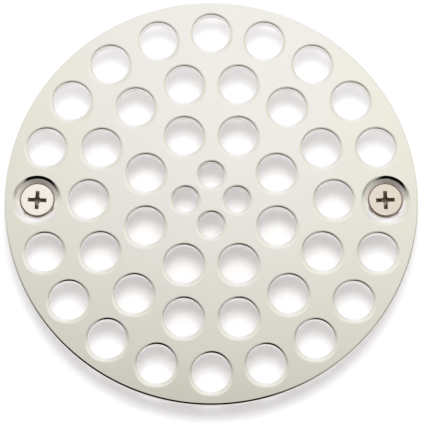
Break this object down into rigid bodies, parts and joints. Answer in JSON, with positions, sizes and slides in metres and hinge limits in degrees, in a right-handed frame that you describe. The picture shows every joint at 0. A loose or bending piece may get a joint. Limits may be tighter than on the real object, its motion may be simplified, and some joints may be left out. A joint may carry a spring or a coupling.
{
  "type": "floor drain grate",
  "caption": "Round polished perforated cover plate for a floor drain, held by two countersunk machine screws.",
  "frame": {"origin": "centre of the plate's underside, the face that rests on the drain body's ledge", "axes": "+Z along the plate's axis, up into the room; +X from the plate's centre to the right screw; +Y along the floor, away from the viewer"},
  "size_m": [0.1016, 0.1016, 0.02],
  "materials": {
    "plate_nickel": "polished nickel plate over brass",
    "screw_nickel": "nickel plated steel, fine turned"
  },
  "bodies": {
    "plate": {"cover_plate": "plate_nickel"},
    "left_screw_body": {"left_screw": "screw_nickel"},
    "right_screw_body": {"right_screw": "screw_nickel"}
  },
  "joints": [
    {"name": "left_screw_lift", "type": "slide", "parent": "plate", "child": "left_screw_body", "axis": [0, 0, 1], "range_m": [0, 0.022]},
    {"name": "right_screw_lift", "type": "slide", "parent": "plate", "child": "right_screw_body", "axis": [0, 0, 1], "range_m": [0, 0.022]}
  ]
}
